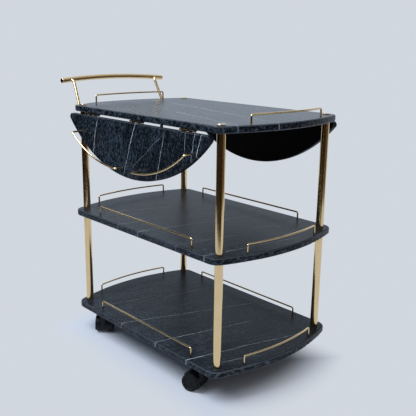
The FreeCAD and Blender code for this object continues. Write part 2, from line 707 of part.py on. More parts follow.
def hinge_flap(name, notches):
    """Hinge flap rolled into knuckles round the hinge axis, with notches for those of its mate.

    The flap runs to +Y from an axis along X, and its upper face is level with the top of the knuckles.
    """
    body = doc.addObject("PartDesign::Body", name)
    section = new_sketch(body, name + "_section", "YZ_Plane")
    plate = size("flap_thickness")
    width = size("flap_width")
    lower = knuckle_radius - plate
    join = math.asin(lower / knuckle_radius)
    join_point = Vector(knuckle_radius * math.cos(join), lower, 0)
    outline = [
        Part.LineSegment(Vector(width, knuckle_radius, 0), Vector(0, knuckle_radius, 0)),
        arc_between(ORIGIN, knuckle_radius, math.pi / 2, 2 * math.pi + join),
        Part.LineSegment(join_point, Vector(width, lower, 0)),
        Part.LineSegment(Vector(width, lower, 0), Vector(width, knuckle_radius, 0)),
    ]
    upper_line, roll, lower_line, edge = [section.addGeometry(piece, False) for piece in outline]
    ring = [upper_line, roll, lower_line, edge]
    for piece, after in zip(ring, ring[1:] + ring[:1]):
        relate(section, "Coincident", piece, 2, after, 1)
    relate(section, "Horizontal", upper_line)
    relate(section, "Horizontal", lower_line)
    relate(section, "Vertical", edge)
    relate(section, "Coincident", roll, 3, -1, 1)
    relate(section, "PointOnObject", upper_line, 2, -2)
    dimension(section, "Radius", roll, expression="dim.knuckle_diameter / 2")
    dimension(section, "DistanceX", -1, 1, upper_line, 1, expression="dim.flap_width")
    dimension(section, "DistanceY", lower_line, 1, upper_line, 2, expression="dim.flap_thickness")
    add_circle(section, "0", "0", "dim.pin_diameter / 2 + dim.pin_clearance")
    pad(body, section, "dim.hinge_length", symmetric=True)
    cuts = new_sketch(body, name + "_notches", "XY_Plane")
    reach = "(dim.knuckle_diameter / 2 + dim.knuckle_gap)"
    half = f"(dim.hinge_length / {KNUCKLES} / 2 + dim.knuckle_gap / 2)"
    for place in notches:
        middle = f"{place} * dim.hinge_length / {KNUCKLES}"
        add_rectangle(cuts, f"{middle} - {half}", f"-{reach}", f"{middle} + {half}", reach)
    pocket(body, cuts)
    return body


def hinges():
    """Three butt hinges to a leaf: fixed flaps under the top shelf, moving flaps on the leaf, and pins."""
    outer_place = size("leaf_length") / 2 - size("hinge_end_inset")
    places = [-outer_place, 0, outer_place]
    fixed = hinge_flap("fixed_flap", (-1, 1))
    moving = hinge_flap("moving_flap", (-2, 0, 2))
    axes = {"right": [at(x, -hinge_y, hinge_z) for x in places],
            "left": [at(x, hinge_y, hinge_z, 180) for x in places]}
    copies("hinge_fixed_flaps", fixed, axes["right"] + axes["left"])
    along = Placement(Vector(-size("hinge_length") / 2, 0, 0), Rotation(Y_AXIS, 90))
    pin = cylinder("hinge_pin", "dim.pin_diameter / 2", "dim.hinge_length", Placement())
    copies("hinge_pins", pin, [axis.multiply(along) for axis in axes["right"] + axes["left"]])
    for side in SIDES:
        frame = leaf_frame(side)
        copies(f"{side}_leaf_flaps", moving,
               [frame.multiply(Placement(Vector(x, 0, 0), Rotation(Z_AXIS, 180))) for x in places])


def leaf_supports():
    """Flat bars that pull out from under the top shelf to carry a raised leaf, and their guide channels."""
    guide = doc.addObject("PartDesign::Body", "support_guide")
    section = new_sketch(guide, "guide_section", "XZ_Plane")
    inner = "(dim.support_width / 2 + dim.support_clearance)"
    outer = f"({inner} + dim.guide_wall)"
    flange = f"({outer} + dim.guide_flange)"
    depth = f"({BAR_THICKNESS} + 2 * dim.support_clearance)"
    half = [(flange, "0"), (flange, "-dim.guide_wall"), (outer, "-dim.guide_wall"),
            (outer, f"-{depth} - dim.guide_wall")]
    add_polygon(section, [(inner, "0")] + half
                + [(f"-{x}", y) for x, y in reversed(half)]
                + [(f"-{inner}", "0"), (f"-{inner}", f"-{depth}"), (inner, f"-{depth}")])
    pad(guide, section, "dim.guide_length", reverse=True)
    outer_end = value(TOP_WIDTH) / 2 - size("support_setback")
    spots = {f"{end}_{side}": at(x_sign * size("support_offset"), y_sign * outer_end, underside,
                                 0 if y_sign < 0 else 180)
             for end, x_sign in ENDS.items() for side, y_sign in SIDES.items()}
    inward = Placement(Vector(0, size("support_grip"), 0), Rotation())
    copies("support_guides", guide, [place.multiply(inward) for place in spots.values()])
    for spot, place in spots.items():
        name = f"support_bar_{spot}"
        bar = doc.addObject("PartDesign::Body", name)
        outline = new_sketch(bar, name + "_outline", "XY_Plane")
        add_rectangle(outline, "-dim.support_width / 2", "0", "dim.support_width / 2", BAR_LENGTH)
        blank = pad(bar, outline, BAR_THICKNESS, reverse=True)
        round_edges(bar, blank, "dim.support_corner",
                    lambda edge: is_upright(edge) and edge.CenterOfMass.y < NEAR)
        bar.Placement = place.multiply(Placement(Vector(0, 0, -size("support_clearance")), Rotation()))
        keep(name, bar)


def leaf_bumpers():
    """Rubber stops under the top shelf, which keep each hanging leaf upright and off the posts."""
    body = doc.addObject("PartDesign::Body", "leaf_bumper")
    disc = new_sketch(body, "bumper_disc", "XY_Plane")
    add_circle(disc, "0", "0", "dim.bumper_diameter / 2")
    blank = pad(body, disc, "dim.bumper_height", reverse=True)
    round_edges(body, blank, "dim.bumper_edge", lambda edge: is_level(edge) and edge.CenterOfMass.z < -NEAR)
    y = hinge_y + knuckle_radius - size("bumper_clearance") - size("bumper_diameter") / 2
    copies("leaf_bumpers", body, [at(size("bumper_offset"), sign * y, underside) for sign in SIDES.values()])


def bar_arc():
    """Centre line of the handle bar: one arc between its ends, bowed outward and arched upward."""
    middle = Vector(handle_x - size("handle_bow"), 0, handle_z + size("handle_arch"))
    right, left = [Vector(handle_x, y, handle_z) for y in (-handle_half, handle_half)]
    return Part.Arc(right, middle, left).toShape()


def bar_point(y):
    """Point of the handle bar's centre line at a place across the trolley."""
    rise = math.hypot(size("handle_bow"), size("handle_arch"))
    radius = (handle_half ** 2 + rise ** 2) / (2 * rise)
    share = (math.sqrt(radius ** 2 - y ** 2) - (radius - rise)) / rise
    return Vector(handle_x - share * size("handle_bow"), y, handle_z + share * size("handle_arch"))


def bent_path(points, radius):
    """Straight runs through points, with a tangent arc of one radius at each inner point."""
    edges = []
    start = points[0]
    for before, corner, after in zip(points, points[1:], points[2:]):
        back = (before - corner).normalize()
        ahead = (after - corner).normalize()
        half_angle = back.getAngle(ahead) / 2
        trim = radius / math.tan(half_angle)
        inward = (back + ahead).normalize()
        middle = corner + inward * (radius / math.sin(half_angle) - radius)
        edges.append(Part.LineSegment(start, corner + back * trim).toShape())
        edges.append(Part.Arc(corner + back * trim, middle, corner + ahead * trim).toShape())
        start = corner + ahead * trim
    edges.append(Part.LineSegment(start, points[-1]).toShape())
    return edges


def handle():
    """Push handle: an arched bar on two bent rods, each held under the top shelf by a clamp block."""
    blank = swept_rod("handle_blank", [bar_arc()], "dim.handle_diameter", base)
    bar = doc.addObject("Part::Fillet", "handle_bar")
    bar.Base = blank
    end_radius = size("handle_end_radius")
    rims = [i for i, edge in enumerate(blank.Shape.Edges, start=1)
            if edge.Closed and edge.BoundBox.YLength < size("handle_diameter") / 2]
    bar.Edges = [(i, end_radius, end_radius) for i in rims]
    keep("handle_bar", bar)
    clamp = doc.addObject("PartDesign::Body", "handle_clamp")
    section = new_sketch(clamp, "clamp_section", "YZ_Plane")
    half = "dim.clamp_width / 2"
    add_polygon(section, [
        (half, "0"),
        (f"-{half}", "0"),
        (f"-{half}", "-dim.clamp_height + dim.clamp_chamfer"),
        (f"-{half} + dim.clamp_chamfer", "-dim.clamp_height"),
        (f"{half} - dim.clamp_chamfer", "-dim.clamp_height"),
        (half, "-dim.clamp_height + dim.clamp_chamfer"),
    ])
    add_circle(section, "0", "-dim.clamp_height / 2", "dim.handle_rod_diameter / 2 + dim.clamp_clearance")
    pad(clamp, section, "dim.clamp_length")
    foot_x = -shelf_end - size("handle_rod_stand")
    inner_x = foot_x + size("handle_rod_run")
    rod_z = underside - size("clamp_height") / 2
    rods = []
    spots = []
    for side, sign in SIDES.items():
        y = sign * handle_rod_y
        tip = bar_point(sign * handle_tip_y)
        shoulder = Vector(tip.x + size("handle_rod_neck"), sign * handle_bend_y, tip.z)
        line = [Vector(inner_x, y, rod_z), Vector(foot_x, y, rod_z), shoulder, tip]
        rod = swept_rod(f"handle_rod_{side}_blank", bent_path(line, size("handle_rod_bend")),
                        "dim.handle_rod_diameter", base)
        rods.append(cut(f"handle_rod_{side}", rod, blank))
        spots.append(at(inner_x - size("clamp_length"), y, underside))
    pair = doc.addObject("Part::Compound", "handle_rods")
    pair.Links = rods
    keep("handle_rods", pair)
    copies("handle_clamps", clamp, spots)


def caster_mounts():
    """Caster mounts: a square plate under the bottom shelf, a bearing cup and the swivel stem."""
    body = doc.addObject("PartDesign::Body", "caster_mount")
    square = new_sketch(body, "mount_square", "XY_Plane")
    half = "dim.mount_side / 2"
    add_rectangle(square, f"-{half}", f"-{half}", half, half)
    plate = pad(body, square, "dim.mount_plate", reverse=True)
    round_edges(body, plate, "dim.mount_corner", is_upright)
    profile = new_sketch(body, "mount_profile", "XZ_Plane")
    cup = "dim.cup_diameter / 2"
    stem = "dim.stem_diameter / 2"
    cup_low = "(dim.mount_plate + dim.cup_height)"
    add_polygon(profile, [
        ("0", "-dim.mount_plate"),
        (cup, "-dim.mount_plate"),
        (f"{cup} - dim.cup_taper", f"-{cup_low}"),
        (stem, f"-{cup_low}"),
        (stem, f"-{cup_low} - dim.stem_length"),
        ("0", f"-{cup_low} - dim.stem_length"),
    ])
    revolve(body, profile)
    copies("caster_mounts", body, [swivel_axis(corner, size("deck_height")) for corner in CORNERS])


def swivel_axis(corner, height, turn=0):
    """Frame on the swivel axis of a caster, square to the shelf or turned about the axis."""
    x_sign, y_sign = CORNERS[corner]
    x = post_x - size("caster_inset")
    y = post_y - size("caster_side_inset")
    return at(x_sign * x, y_sign * y, height, turn)


def caster_place(corner, height):
    """Frame that swivels with a caster, whose wheels trail towards its own -X."""
    return swivel_axis(corner, height, CASTER_TURNS[corner])


def caster_hood(corner, axle_frame):
    """Moulded hood: a shell round the tops of both wheels, a web between them and the swivel hub."""
    name = f"caster_hood_{corner}"
    room = "(dim.wheel_diameter / 2 + dim.hood_clearance)"
    outer = f"({room} + dim.hood_wall)"
    over_wheels = "(2 * dim.wheel_width + dim.wheel_gap)"

    def across(width, turned=Rotation()):
        """Frame of a piece of this width, centred on the web, with its axis along the axle."""
        return axle_frame.multiply(Placement(Vector(0, 0, -value(width) / 2), turned))

    # The axle frame's Z runs along the axle and its Y points down, so a sector is turned back by its sweep
    start = Rotation(Z_AXIS, size("hood_front_drop") - size("hood_sweep"))
    sector = "dim.hood_sweep"
    shell_outside = cylinder(name + "_outside", outer, over_wheels, across(over_wheels, start), sector)
    wheel_room = cylinder(name + "_room", room, over_wheels, across(over_wheels))
    hub_low = size("wheel_diameter") / 2
    hub_top = size("deck_height") - value("dim.mount_plate + dim.cup_height + dim.swivel_gap")
    hub = cylinder(name + "_hub", "dim.hub_diameter / 2", str(hub_top - hub_low),
                   caster_place(corner, hub_low))
    shell = cut(name + "_shell", fuse(name + "_solid", [shell_outside, hub]), wheel_room)
    web_radius = f"({room} + dim.hood_wall / 2)"
    web = cylinder(name + "_web", web_radius, "dim.hood_web", across("dim.hood_web", start), sector)
    boss = cylinder(name + "_boss", "dim.hood_boss_diameter / 2", "dim.hood_web", across("dim.hood_web"))
    axle_bore = cylinder(name + "_axle_bore", "dim.axle_diameter / 2 + dim.axle_fit", over_wheels,
                         across(over_wheels))
    stem_low = hub_top - size("stem_length")
    stem_bore = cylinder(name + "_stem_bore", "dim.stem_diameter / 2 + dim.stem_clearance",
                         str(hub_top - stem_low), caster_place(corner, stem_low))
    hood = fuse(name + "_moulding", [shell, web, boss])
    keep(name, cut(name, hood, fuse(name + "_bores", [axle_bore, stem_bore])))


def wheel_body(name):
    """Caster wheel with rounded shoulders, a sunk disc and boss outside, and a blind bore for the axle."""
    body = doc.addObject("PartDesign::Body", name)
    profile = new_sketch(body, name + "_profile", "XZ_Plane")
    tread = "dim.wheel_diameter / 2"
    bore = "dim.axle_diameter / 2 + dim.axle_clearance"
    dish = "dim.wheel_dish_diameter / 2"
    boss = "dim.wheel_boss_diameter / 2"
    floor = "(dim.wheel_width - dim.wheel_dish_depth)"
    add_polygon(profile, [
        (bore, "0"),
        (tread, "0"),
        (tread, "dim.wheel_width"),
        (dish, "dim.wheel_width"),
        (f"{dish} - dim.wheel_dish_depth", floor),
        (boss, floor),
        (f"{boss} - dim.wheel_dish_depth / 2", f"{floor} + dim.wheel_dish_depth / 2"),
        ("0", f"{floor} + dim.wheel_dish_depth / 2"),
        ("0", "dim.wheel_width - dim.wheel_cover"),
        (bore, "dim.wheel_width - dim.wheel_cover"),
    ])
    blank = revolve(body, profile)
    radius = size("wheel_diameter") / 2
    round_edges(body, blank, "dim.wheel_shoulder",
                lambda edge: edge.Closed and abs(edge.Curve.Radius - radius) < NEAR)
    return body


def casters():
    """Four twin-wheel casters: mounts, hoods, axles and eight wheels."""
    caster_mounts()
    axle_length = "(dim.wheel_gap + 2 * (dim.wheel_width - dim.wheel_cover - dim.axle_end_room))"
    for corner in CORNERS:
        centre = Vector(-size("caster_trail"), 0, size("wheel_diameter") / 2)
        axle_frame = caster_place(corner, 0).multiply(Placement(centre, Rotation(X_AXIS, -90)))
        caster_hood(corner, axle_frame)
        middle = Placement(Vector(0, 0, -value(axle_length) / 2), Rotation())
        name = f"caster_axle_{corner}"
        keep(name, cylinder(name, "dim.axle_diameter / 2", axle_length, axle_frame.multiply(middle)))
        for side, turned in (("left", Rotation()), ("right", Rotation(X_AXIS, 180))):
            name = f"caster_wheel_{corner}_{side}"
            wheel = wheel_body(name)
            inner_face = Placement(Vector(0, 0, size("wheel_gap") / 2), Rotation())
            wheel.Placement = axle_frame.multiply(Placement(ORIGIN, turned)).multiply(inner_face)
            keep(name, wheel)


rod_bore = "dim.tie_rod_diameter / 2 + dim.tie_rod_clearance"
post_seat = "dim.post_diameter / 2 + dim.post_seat_clearance"
for name, level in (("bottom_shelf", bottom_level), ("middle_shelf", middle_level)):
    shelf(name, "dim.shelf_width", level, [end_rail_plan(), side_rail_plan()], rod_bore, post_seat,
          "dim.post_seat_depth")
sleeve_bore = "dim.cap_sleeve_diameter / 2 + dim.cap_sleeve_clearance"
cap_seat = "dim.cap_diameter / 2 + dim.cap_seat_clearance"
shelf("top_shelf", TOP_WIDTH, top_level, [end_rail_plan()], sleeve_bore, cap_seat, "dim.cap_seat_depth")
posts("lower", bottom_level, "dim.lower_post_length")
posts("upper", middle_level, "dim.upper_post_length")
tie_rods()
post_caps()
foot_nuts()
shelf_rails("bottom", bottom_level, True)
shelf_rails("middle", middle_level, True)
shelf_rails("top", top_level, False)
for leaf_side in SIDES:
    leaf(leaf_side)
hinges()
leaf_supports()
leaf_bumpers()
handle()
casters()
doc.recompute()

faults = [feature.Name for feature in doc.Objects if {"Invalid", "Error"} & set(feature.State)]
if faults:
    raise RuntimeError(f"features that failed: {faults}")
for node_label, node in nodes.items():
    if node.Shape.isNull() or not node.Shape.isValid() or not node.Shape.Solids:
        raise RuntimeError(f"{node_label} has no valid solid")

os.makedirs("parts", exist_ok=True)
for node_label, node in nodes.items():
    node.Shape.exportStep(f"parts/{node_label}.step")
print(f"{len(nodes)} sub-parts written")
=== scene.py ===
import json
import math

import bpy
import numpy as np
from mathutils import Matrix, Vector


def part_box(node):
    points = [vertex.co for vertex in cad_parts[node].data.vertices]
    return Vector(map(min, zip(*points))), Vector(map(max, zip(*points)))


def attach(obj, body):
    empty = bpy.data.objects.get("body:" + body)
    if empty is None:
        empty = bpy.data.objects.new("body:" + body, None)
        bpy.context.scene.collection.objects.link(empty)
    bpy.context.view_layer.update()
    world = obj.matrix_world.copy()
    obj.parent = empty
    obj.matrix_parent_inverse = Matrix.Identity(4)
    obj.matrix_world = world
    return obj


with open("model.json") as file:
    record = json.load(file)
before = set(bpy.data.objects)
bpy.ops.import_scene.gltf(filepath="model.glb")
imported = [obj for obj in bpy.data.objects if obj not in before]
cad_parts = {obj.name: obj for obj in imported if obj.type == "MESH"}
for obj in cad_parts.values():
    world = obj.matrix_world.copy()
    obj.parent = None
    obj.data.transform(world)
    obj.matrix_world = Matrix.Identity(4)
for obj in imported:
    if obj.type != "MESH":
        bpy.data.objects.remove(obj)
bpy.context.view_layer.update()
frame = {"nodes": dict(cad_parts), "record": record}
nodes = frame["nodes"]
MM = 0.001

# Middle of the shelves, from which places on the trolley are measured in millimetres
shelf_low, shelf_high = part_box("top_shelf")
MIDDLE = (shelf_low + shelf_high) / 2
MIDDLE.z = 0

# Sockets of a Mix node for its two colours and for the one that comes out
MIX_A, MIX_B, MIX_OUT = 6, 7, 2
SMOOTH = {"interpolation_type": "SMOOTHSTEP"}
# Nearly all noise lies between these values
NOISE_SPAN = 0.3, 0.7


def on_trolley(x, y, z):
    """Point in metres from millimetres off the middle of the shelves and the floor."""
    return Vector((x * MM, y * MM, z * MM)) + MIDDLE


def linear(hex_colour):
    """sRGB hex to linear RGBA: c / 12.92 up to 0.04045, else ((c + 0.055) / 1.055) to the power 2.4."""
    srgb = np.array([int(hex_colour[i:i + 2], 16) for i in (1, 3, 5)]) / 255
    rgb = np.where(srgb <= 0.04045, srgb / 12.92, ((srgb + 0.055) / 1.055) ** 2.4)
    return (*rgb.tolist(), 1.0)


def add(tree, kind, inputs=(), out=0, **settings):
    """Add a node with its settings and give one of its outputs.

    inputs are values to set or sockets to link, in order or by name.
    """
    made = tree.nodes.new("ShaderNode" + kind)
    for name, setting in settings.items():
        setattr(made, name, setting)
    for key, value in inputs.items() if isinstance(inputs, dict) else enumerate(inputs):
        if isinstance(value, bpy.types.NodeSocket):
            tree.links.new(value, made.inputs[key])
        else:
            made.inputs[key].default_value = value
    return made.outputs[out] if made.outputs else None


def new_material(name):
    """Material with no nodes yet: returns it and its node tree."""
    material = bpy.data.materials.new(name)
    material.use_nodes = True
    material.node_tree.nodes.clear()
    return material, material.node_tree


# Patterns in the stone: width across the grain and length along it in millimetres, and detail of the noise
MOTTLE = 5.5, 9, 4
CLOUD = 45, 120, 2
HAIRLINES = 9, 110, 3
WANDER = 60, 60, 3
BREAKS = 40, 25, 3
FLECKS = 8, 14, 2
PATTERN_ROUGHNESS = 0.62
# Colours of the stone with their places on the scale of the mottle, which the clouds shift either way
STONE_DARK, STONE_BODY, STONE_PALE = (0.38, "#03070b"), (0.5, "#0b131a"), (0.68, "#303b45")
CLOUD_SHIFT = 0.16
HAIRLINE_COLOUR, VEIN_COLOUR = "#77818d", "#c9d0d4"
# Colour of the pale flecks on the sides and of the painted highlight along the eased edges, and the black
# painted on the back of a slab as shade
FLECK_AND_HIGHLIGHT_COLOUR, BACK_SHADE_COLOUR = "#60666c", "#050506"
# Value of its noise along which a hairline runs, and how far from that it ends
HAIRLINE_MIDDLE, HAIRLINE_REACH = 0.5, 0.022
# A vein fades between these shares of its width. In millimetres, it fades from inside its ends to beyond
# them and wanders either way
VEIN_FADE = 0.15, 0.65
VEIN_INSIDE, VEIN_BEYOND, VEIN_WANDER = 10, 30, 7
# Noise over which a vein goes from its faintest share to its full strength, and a fleck from none to full
VEIN_BREAKS, VEIN_FAINTEST = (0.34, 0.6), 0.3
FLECK_SPAN = 0.48, 0.68
# How squarely a surface faces out where a side turns into an eased edge, and that into the face: the
# painted highlight runs between the two
SIDE_TO_EDGE, EDGE_TO_FACE = (0.2, 0.5), (0.8, 0.97)
# How squarely a surface faces along the trolley from its long sides to its ends, and how strongly the
# flecks and the painted highlight show there, as painted light that makes the ends lighter
LENGTHWAYS = Vector((1, 0, 0))
SIDE_TO_END, SIDE_AND_END_LIGHT = (0.3, 0.9), (0.55, 1.4)
# Millimetres off the back of a slab over which the black painted on it as shade ends
BACK_SHADE_FADE = 0.1, 0.6
STONE_IOR, STONE_SPECULAR = 1.5, 0.1
# Honing leaves the roughness a little uneven and the softer grains a few hundredths of a millimetre low
HONING_SPREAD, HONING_DEPTH, HONING_STRENGTH = 0.02, 0.02, 0.2


def vein_share(tree, place, wander, face, veins):
    """Share of the vein colour: the strongest of the veins, lines that fade at their sides and ends."""
    strongest = None
    for start, end, width, strength in veins:
        along = (end - start).normalized()
        aside = along.cross(face)
        middle = (start + end) / 2
        reach = (end - start).length / 2
        core, rim = (share * width * MM for share in VEIN_FADE)
        away = add(tree, "VectorMath", (place, aside), "Value", operation="DOT_PRODUCT")
        away = add(tree, "Math", (away, wander), operation="ADD")
        away = add(tree, "Math", (away, aside.dot(middle)), operation="SUBTRACT")
        away = add(tree, "Math", (away,), operation="ABSOLUTE")
        line = add(tree, "MapRange", (away, core, rim, strength, 0.0), **SMOOTH)
        past = add(tree, "VectorMath", (place, along), "Value", operation="DOT_PRODUCT")
        past = add(tree, "Math", (past, along.dot(middle)), operation="SUBTRACT")
        past = add(tree, "Math", (past,), operation="ABSOLUTE")
        fade_from, fade_to = reach - VEIN_INSIDE * MM, reach + VEIN_BEYOND * MM
        ended = add(tree, "MapRange", (past, fade_from, fade_to, 1.0, 0.0), **SMOOTH)
        vein = add(tree, "Math", (line, ended), operation="MULTIPLY")
        strongest = add(tree, "Math", (strongest, vein), operation="MAXIMUM") if strongest else vein
    return strongest


def flecks_and_edge_highlight(tree, face, flecks, fleck_and_highlight):
    """Share of the fleck and highlight colour: pale flecks on the unpolished sides and a painted highlight
    along the eased edges.

    Both are painted stronger at the ends of the trolley than along its sides, as painted light. The last
    argument is their strength.
    """
    normal = add(tree, "TexCoord", out="Normal")
    facing = add(tree, "VectorMath", (normal, face), "Value", operation="DOT_PRODUCT")
    facing = add(tree, "Math", (facing,), operation="ABSOLUTE")
    # A painted highlight along the eased edges
    rising = add(tree, "MapRange", (facing, *SIDE_TO_EDGE, 0.0, fleck_and_highlight), **SMOOTH)
    falling = add(tree, "MapRange", (facing, *EDGE_TO_FACE, 1.0, 0.0), **SMOOTH)
    edge = add(tree, "Math", (rising, falling), operation="MULTIPLY")
    side = add(tree, "MapRange", (facing, *SIDE_TO_EDGE, fleck_and_highlight, 0.0), **SMOOTH)
    flecked = add(tree, "MapRange", (flecks, *FLECK_SPAN, 0.0, 1.0), **SMOOTH)
    side = add(tree, "Math", (side, flecked), operation="MULTIPLY")
    share = add(tree, "Math", (edge, side), operation="MAXIMUM")
    # Painted light: the ends are drawn lighter than the long sides
    endways = add(tree, "VectorMath", (normal, LENGTHWAYS), "Value", operation="DOT_PRODUCT")
    endways = add(tree, "Math", (endways,), operation="ABSOLUTE")
    end_light = add(tree, "MapRange", (endways, *SIDE_TO_END, *SIDE_AND_END_LIGHT), **SMOOTH)
    return add(tree, "Math", (share, end_light), operation="MULTIPLY")


def black_marble(name, node, grain, face, veins, roughness, lines, fleck_and_highlight):
    """Honed black marble: blue-black calcite, mottled and drawn out along the grain, with thin white veins.

    grain points along the grain of the node's stone, and face square out of its good face. Its other face
    is painted black as shade, where it faces away from the light. Each vein is two points in metres, its
    width in millimetres and its strength; it runs square through the stone, shows between the points and
    fades beyond them. lines is the strength of the hairlines along the grain, and the last argument that of
    the pale flecks on the sides and the painted highlight along the eased edges.
    """
    material, tree = new_material(name)
    place = add(tree, "TexCoord", out="Object")
    grain = Vector(grain).normalized()
    face = Vector(face).normalized()
    across = grain.cross(face)
    back = min(corner.dot(face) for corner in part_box(node))

    def streaks(wide, long, detail):
        """Noise whose blotches are wide across the grain and long along it, both in millimetres."""
        parts = [add(tree, "VectorMath", (place, axis / (length * MM)), "Value", operation="DOT_PRODUCT")
                 for axis, length in ((across, wide), (grain, long), (face, wide))]
        joined = add(tree, "CombineXYZ", parts)
        return add(tree, "TexNoise", {"Vector": joined, "Scale": 1.0, "Detail": detail,
                                      "Roughness": PATTERN_ROUGHNESS})

    mottle = streaks(*MOTTLE)
    drift = add(tree, "MapRange", (streaks(*CLOUD), 0.0, 1.0, -CLOUD_SHIFT, CLOUD_SHIFT))
    colour = add(tree, "ValToRGB", (add(tree, "Math", (mottle, drift), operation="ADD"),))
    stops = colour.node.color_ramp.elements
    stops[0].position, stops[0].color = STONE_DARK[0], linear(STONE_DARK[1])
    stops[1].position, stops[1].color = STONE_PALE[0], linear(STONE_PALE[1])
    stops.new(STONE_BODY[0]).color = linear(STONE_BODY[1])

    # A hairline lies where a long streak of noise crosses its middle value
    ridge = add(tree, "Math", (streaks(*HAIRLINES), HAIRLINE_MIDDLE), operation="SUBTRACT")
    ridge = add(tree, "Math", (ridge,), operation="ABSOLUTE")
    hairline = add(tree, "MapRange", (ridge, 0.0, HAIRLINE_REACH, lines, 0.0), **SMOOTH)
    # Veins wander by a few millimetres and come and go along their length
    wander = add(tree, "MapRange", (streaks(*WANDER), 0.0, 1.0, -VEIN_WANDER * MM, VEIN_WANDER * MM))
    broken = add(tree, "MapRange", (streaks(*BREAKS), *VEIN_BREAKS, VEIN_FAINTEST, 1.0), **SMOOTH)
    vein = vein_share(tree, place, wander, face, veins)
    vein = add(tree, "Math", (vein, broken), operation="MULTIPLY")
    # Pale flecks on the sides, and a painted highlight along the eased edges
    flecked_and_lit = flecks_and_edge_highlight(tree, face, streaks(*FLECKS), fleck_and_highlight)
    # The back of the slab is painted black as shade
    depth = add(tree, "VectorMath", (place, face), "Value", operation="DOT_PRODUCT")
    shade_from, shade_to = (back + height * MM for height in BACK_SHADE_FADE)
    back_shade = add(tree, "MapRange", (depth, shade_from, shade_to, 1.0, 0.0))
    for share, over in ((hairline, HAIRLINE_COLOUR), (vein, VEIN_COLOUR), (flecked_and_lit, FLECK_AND_HIGHLIGHT_COLOUR),
                        (back_shade, BACK_SHADE_COLOUR)):
        colour = add(tree, "Mix", {"Factor": share, MIX_A: colour, MIX_B: linear(over)}, MIX_OUT,
                     data_type="RGBA")

    finest, dullest = roughness - HONING_SPREAD, roughness + HONING_SPREAD
    dull = add(tree, "MapRange", (mottle, *NOISE_SPAN, finest, dullest))
    relief = add(tree, "Bump", {"Height": mottle, "Strength": HONING_STRENGTH,
                                "Distance": HONING_DEPTH * MM})
    surface = add(tree, "BsdfPrincipled", {
        "Base Color": colour, "Roughness": dull, "IOR": STONE_IOR, "Specular IOR Level": STONE_SPECULAR,
        "Normal": relief})
    add(tree, "OutputMaterial", {"Surface": surface})
    return material


def slab_veins(points):
    """Veins in a level slab, from their ends in millimetres off the middle of the shelves."""
    return [(on_trolley(x1, y1, 0), on_trolley(x2, y2, 0), width, strength)
            for x1, y1, x2, y2, width, strength in points]


def leaf_veins(points):
    """Veins in a hanging leaf, from their ends in millimetres: along the trolley and above the floor."""
    return [(on_trolley(x1, 0, z1), on_trolley(x2, 0, z2), width, strength)
            for x1, z1, x2, z2, width, strength in points]


# Size in millimetres of the clouds in a plain finish, detail of its noises and strength of its relief
FINISH_CLOUD, CLOUD_DETAIL, GRAIN_DETAIL = 35, 2.0, 4.0
RELIEF_STRENGTH = 0.5


def plain_finish(name, low, high, grain, roughness, metallic=0.0, relief=0.0, specular=0.5):
    """Material whose colour drifts between two limits in broad clouds, and its roughness over fine grains.

    grain is the size of a grain and relief its height, both in millimetres.
    """
    material, tree = new_material(name)
    place = add(tree, "TexCoord", out="Object")
    spots = add(tree, "TexNoise", {"Vector": place, "Scale": 1 / (grain * MM), "Detail": GRAIN_DETAIL})
    broad = add(tree, "TexNoise", {"Vector": place, "Scale": 1 / (FINISH_CLOUD * MM),
                                   "Detail": CLOUD_DETAIL})
    tint = add(tree, "Mix", {"Factor": broad, MIX_A: linear(low), MIX_B: linear(high)}, MIX_OUT,
               data_type="RGBA")
    dull = add(tree, "MapRange", (spots, *NOISE_SPAN, *roughness))
    shader = {"Base Color": tint, "Roughness": dull, "Metallic": metallic, "Specular IOR Level": specular}
    if relief:
        shader["Normal"] = add(tree, "Bump", {"Height": spots, "Strength": RELIEF_STRENGTH,
                                              "Distance": relief * MM})
    add(tree, "OutputMaterial", {"Surface": add(tree, "BsdfPrincipled", shader)})
    return material


# Polished, lacquered brass tube: warm reflections, faint cloudiness where it has been handled
brass = plain_finish("polished_brass", "#efd6aa", "#e7ca98", grain=25, roughness=(0.12, 0.15), metallic=1.0)
# Brass of the hinges, painted dark brown in patches as the shade they lie in, with a duller sheen
shade_dark_brass = plain_finish("brass_darkened_as_shade", "#3f3020", "#4d3b27", grain=12, roughness=(0.3, 0.4), metallic=1.0)
# Zinc-plated steel: grey and slightly dull, with a fine rolled grain, drawn coarser so that it shows
steel = plain_finish("zinc_plated_steel", "#9ea2a6", "#b4b8ba", grain=1.2, roughness=(0.28, 0.4),
                     metallic=1.0)
# Moulded nylon: near-black with the fine bloom of a spark-eroded mould, drawn coarser so that it shows
nylon = plain_finish("moulded_nylon", "#07090d", "#0b0d12", grain=0.8, roughness=(0.36, 0.48),
                     relief=0.03, specular=0.25)
# Nylon tread: the same black, scuffed a little greyer by rolling
tread = plain_finish("scuffed_nylon", "#090b0f", "#101318", grain=1.5, roughness=(0.45, 0.6),
                     relief=0.03, specular=0.22)
# Moulded rubber of the stops: black and matt, with the grain of its mould drawn coarser so that it shows
rubber = plain_finish("moulded_rubber", "#101113", "#18191b", grain=1.0, roughness=(0.65, 0.8), relief=0.03)

# Directions of the good faces, and of the grain in each stone
UP, RIGHT, LEFT = (0, 0, 1), (0, -1, 0), (0, 1, 0)
TOP_GRAIN, LOWER_GRAIN = (1, -0.2, 0), (0.26, 1, 0)
RIGHT_GRAIN, LEFT_GRAIN = (0.26, 0, 1), (-0.22, 0, 1)
# Roughness that the honing leaves: the top is the finest and the leaves are the dullest
TOP_HONING, MIDDLE_HONING, BOTTOM_HONING, LEAF_HONING = 0.26, 0.34, 0.36, 0.4
# Strengths of the hairlines, and of the pale flecks on the sides and the painted highlight along the eased
# edges
SLAB_LINES, LEAF_LINES = 0.25, 0.1
SLAB_FLECKS_AND_HIGHLIGHT, BOTTOM_FLECKS_AND_HIGHLIGHT, LEAF_FLECKS_AND_HIGHLIGHT = 0.5, 0.7, 0.12
